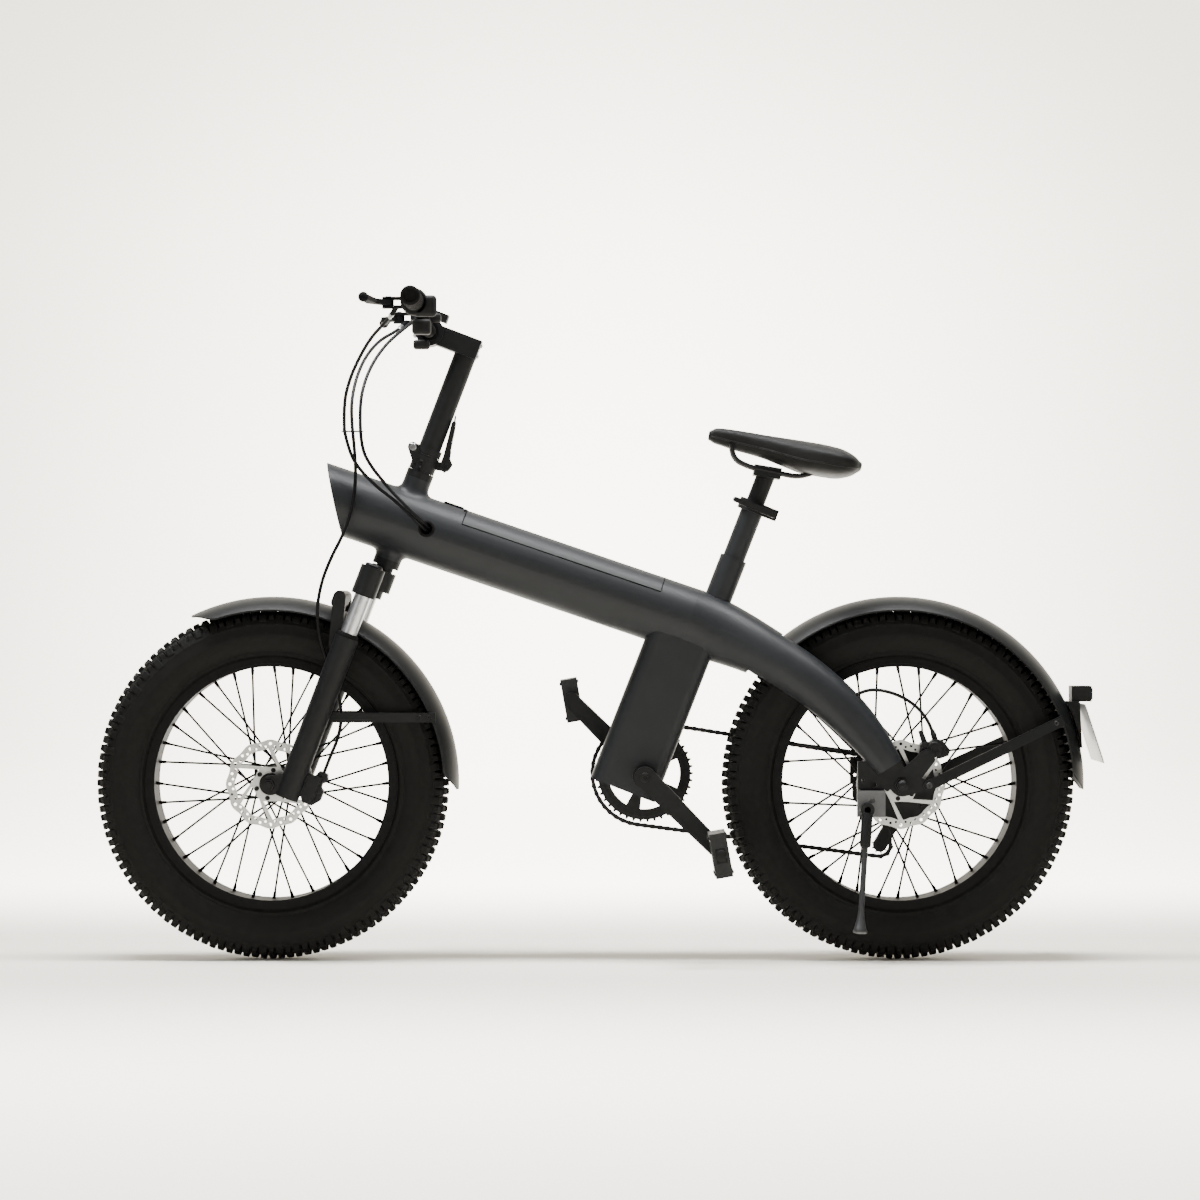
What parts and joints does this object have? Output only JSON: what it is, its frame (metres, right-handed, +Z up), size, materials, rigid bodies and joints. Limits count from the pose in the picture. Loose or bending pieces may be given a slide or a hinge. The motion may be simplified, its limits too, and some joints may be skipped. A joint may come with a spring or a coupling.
{
  "type": "fat tire bike",
  "caption": "Fat tire bike with a thick round-beam frame, sprung fork, folding handle post, disc brakes, fenders and kickstand.",
  "frame": {"origin": "floor level, under the middle of the whole length, on the bike's centre plane", "axes": "+X to the rear along the wheels' line, +Y to the drive side, +Z up"},
  "size_m": [1.6259, 0.644, 1.0744],
  "materials": {
    "frame_paint": "satin",
    "black_metal": "satin",
    "black_rim": "black anodised",
    "steel": "brushed",
    "chrome_tube": "polished",
    "dark_steel": "black coated",
    "grey_alloy": "cast",
    "tyre": "matte",
    "fender": "satin gloss",
    "black_plastic": "matte",
    "lens": "gloss",
    "grip": "matte",
    "cable": "satin",
    "saddle": "satin",
    "plate": "satin"
  },
  "bodies": {
    "frame": {"main_frame": "frame_paint", "battery_pack": "black_plastic", "headlight": "lens", "bearings": "steel", "dropout_plates": "black_metal", "seat_clamp": "black_metal", "rear_axle": "steel", "rear_fender": "fender", "rear_fender_stays": "black_metal", "plate_bracket": "black_plastic", "licence_plate": "plate", "rear_caliper": "black_metal", "rear_brake_hose": "cable", "derailleur": "black_metal", "chain": "dark_steel", "kickstand_bracket": "grey_alloy"},
    "lid": {"battery_lid": "frame_paint"},
    "quick_lever": {"seat_clamp_lever": "black_metal"},
    "guide": {"guide_pulley": "black_plastic"},
    "tension": {"tension_pulley": "black_plastic"},
    "stand": {"kickstand_leg": "black_metal"},
    "crank": {"left_crank": "black_metal", "right_crank": "black_metal", "chainring": "dark_steel"},
    "pedal_left": {"left_pedal": "black_plastic"},
    "pedal_right": {"right_pedal": "black_plastic"},
    "cogs": {"cassette": "dark_steel"},
    "fork_upper": {"fork_crown": "black_metal", "stanchions": "chrome_tube", "fold_base": "black_metal", "lower_cables": "cable"},
    "latch": {"fold_latch": "black_metal"},
    "fork_lower": {"fork_lowers": "black_metal", "front_axle": "steel", "front_fender": "fender", "front_fender_stay": "black_metal", "front_caliper": "black_metal", "front_brake_hose": "cable"},
    "front_wheel": {"front_tyre": "tyre", "front_rim": "black_rim", "front_spokes": "dark_steel", "front_hub": "black_metal", "front_rotor": "steel"},
    "rear_wheel": {"rear_tyre": "tyre", "rear_rim": "black_rim", "rear_spokes": "dark_steel", "rear_hub": "black_metal", "rear_rotor": "steel"},
    "post": {"handlepost": "black_metal", "stem": "black_metal", "handlebar": "black_metal", "grips": "grip", "lever_clamps": "black_metal", "bar_controls": "black_plastic", "upper_cables": "cable"},
    "lever_left": {"left_brake_lever": "black_metal"},
    "lever_right": {"right_brake_lever": "black_metal"},
    "seat": {"seat_post": "black_metal", "saddle_rails": "black_metal", "saddle": "saddle"}
  },
  "joints": [
    {"name": "steering", "type": "hinge", "parent": "frame", "child": "fork_upper", "pos_m": [-0.34112, 0, 0.64863], "axis": [0.3551, 0, 0.9348], "range_deg": [-50, 50], "deforming": ["lower_cables"]},
    {"name": "fork_travel", "type": "slide", "parent": "fork_upper", "child": "fork_lower", "axis": [0.3551, 0, 0.9348], "range_m": [0, 0.03], "stiffness_N_per_m": 6000, "springref_m": -0.04, "deforming": ["front_brake_hose"]},
    {"name": "front_wheel_spin", "type": "hinge", "parent": "fork_lower", "child": "front_wheel", "pos_m": [-0.527, 0, 0.286], "axis": [0, 1, 0], "continuous": true},
    {"name": "rear_wheel_spin", "type": "hinge", "parent": "frame", "child": "rear_wheel", "pos_m": [0.487, 0, 0.286], "axis": [0, 1, 0], "continuous": true},
    {"name": "crank_spin", "type": "hinge", "parent": "frame", "child": "crank", "pos_m": [0.076, 0, 0.298], "axis": [0, 1, 0], "continuous": true},
    {"name": "cassette_spin", "type": "hinge", "parent": "frame", "child": "cogs", "pos_m": [0.487, 0, 0.286], "axis": [0, 1, 0], "continuous": true},
    {"name": "guide_pulley_spin", "type": "hinge", "parent": "frame", "child": "guide", "pos_m": [0.487, 0.066, 0.222], "axis": [0, 1, 0], "continuous": true},
    {"name": "tension_pulley_spin", "type": "hinge", "parent": "frame", "child": "tension", "pos_m": [0.463, 0.066, 0.18], "axis": [0, 1, 0], "continuous": true},
    {"name": "left_pedal_spin", "type": "hinge", "parent": "crank", "child": "pedal_left", "pos_m": [0.19479, -0.14, 0.17921], "axis": [0, 1, 0], "continuous": true},
    {"name": "right_pedal_spin", "type": "hinge", "parent": "crank", "child": "pedal_right", "pos_m": [-0.04279, 0.14, 0.41679], "axis": [0, 1, 0], "continuous": true},
    {"name": "handlepost_fold", "type": "hinge", "parent": "fork_upper", "child": "post", "pos_m": [-0.29973, 0, 0.8308], "axis": [0, -1, 0], "range_deg": [0, 95], "deforming": ["upper_cables"]},
    {"name": "fold_latch_open", "type": "hinge", "parent": "fork_upper", "child": "latch", "pos_m": [-0.24696, 0, 0.79792], "axis": [0, 1, 0], "range_deg": [0, 80]},
    {"name": "left_brake_pull", "type": "hinge", "parent": "post", "child": "lever_left", "pos_m": [-0.3313, -0.168, 1.05255], "axis": [0, 0, 1], "range_deg": [0, 12], "stiffness_Nm_per_rad": 3, "springref_deg": -11.46},
    {"name": "right_brake_pull", "type": "hinge", "parent": "post", "child": "lever_right", "pos_m": [-0.3313, 0.168, 1.05255], "axis": [0, 0, -1], "range_deg": [0, 12], "stiffness_Nm_per_rad": 3, "springref_deg": -11.46},
    {"name": "kickstand_fold", "type": "hinge", "parent": "frame", "child": "stand", "pos_m": [0.43, -0.12, 0.248], "axis": [0, -1, 0], "range_deg": [0, 85]},
    {"name": "battery_lid_open", "type": "hinge", "parent": "frame", "child": "lid", "pos_m": [-0.21518, 0, 0.72614], "axis": [0, -1, 0], "range_deg": [0, 60]},
    {"name": "seat_height", "type": "slide", "parent": "frame", "child": "seat", "axis": [0.3633, 0, 0.9317], "range_m": [0, 0.08]},
    {"name": "seat_clamp_open", "type": "hinge", "parent": "frame", "child": "quick_lever", "pos_m": [0.28437, 0, 0.72122], "axis": [0, 1, 0], "range_deg": [0, 60]}
  ],
  "couplings": [
    {"joint": "cassette_spin", "follows": "crank_spin", "ratio": 2.625},
    {"joint": "guide_pulley_spin", "follows": "crank_spin", "ratio": -4.6667},
    {"joint": "tension_pulley_spin", "follows": "crank_spin", "ratio": 4.6667}
  ]
}
